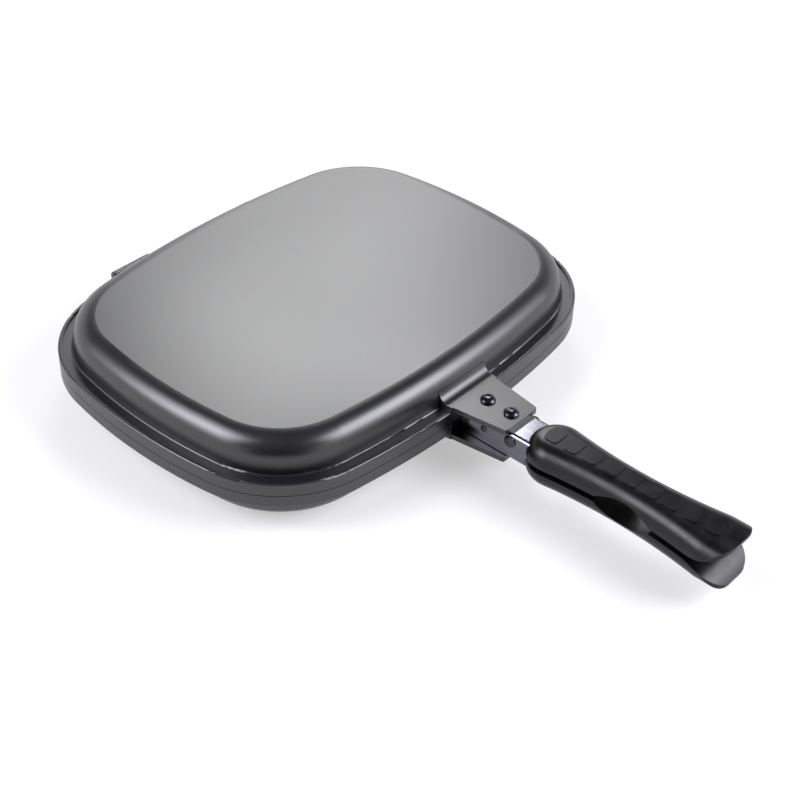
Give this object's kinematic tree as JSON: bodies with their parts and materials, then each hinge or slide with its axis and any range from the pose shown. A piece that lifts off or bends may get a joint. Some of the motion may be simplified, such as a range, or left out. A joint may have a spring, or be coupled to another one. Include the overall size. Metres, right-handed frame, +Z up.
{
  "type": "double sided flip pan",
  "caption": "Shut clamshell pan of two shallow cast pans hinged along one long edge, each with a lug, steel neck and half-round grip; opens flat for cooking on both sides.",
  "frame": {"origin": "centre of the flat face that the shut pan rests on", "axes": "+Z up, +Y from the middle of the pan towards the hinge, the handle points along -Y, +X to the right"},
  "size_m": [0.32, 0.4511, 0.0588],
  "materials": {
    "coated_aluminium": "satin metallic grey non-stick coating on cast aluminium",
    "neck_steel": "polished pressed steel",
    "rivet_steel": "bright rivet steel",
    "screw_steel": "zinc plated steel",
    "phenolic": "black moulded phenolic, satin gloss",
    "insert_brass": "turned brass",
    "carrier_nylon": "black moulded nylon",
    "magnet": "sintered ferrite",
    "silicone": "dark grey silicone"
  },
  "bodies": {
    "lower_half": {"lower_pan": "coated_aluminium", "lower_bracket": "neck_steel", "lower_lug_rivets": "rivet_steel", "lower_grip": "phenolic", "lower_grip_inserts": "insert_brass", "lower_grip_screws": "screw_steel", "lower_magnet_carrier": "carrier_nylon", "lower_magnet": "magnet", "lower_carrier_screw": "screw_steel", "hinge_pins": "screw_steel", "hinge_pin_caps": "screw_steel"},
    "upper_half": {"upper_pan": "coated_aluminium", "seal_ring": "silicone", "upper_bracket": "neck_steel", "upper_lug_rivets": "rivet_steel", "upper_grip": "phenolic", "upper_grip_inserts": "insert_brass", "upper_grip_screws": "screw_steel", "upper_magnet_carrier": "carrier_nylon", "upper_magnet": "magnet", "carrier_cross_rivet": "rivet_steel", "carrier_pin": "rivet_steel"}
  },
  "joints": [
    {"name": "hinge", "type": "hinge", "parent": "lower_half", "child": "upper_half", "pos_m": [0, 0.1324, 0.0294], "axis": [-1, 0, 0], "range_deg": [0, 180]}
  ]
}
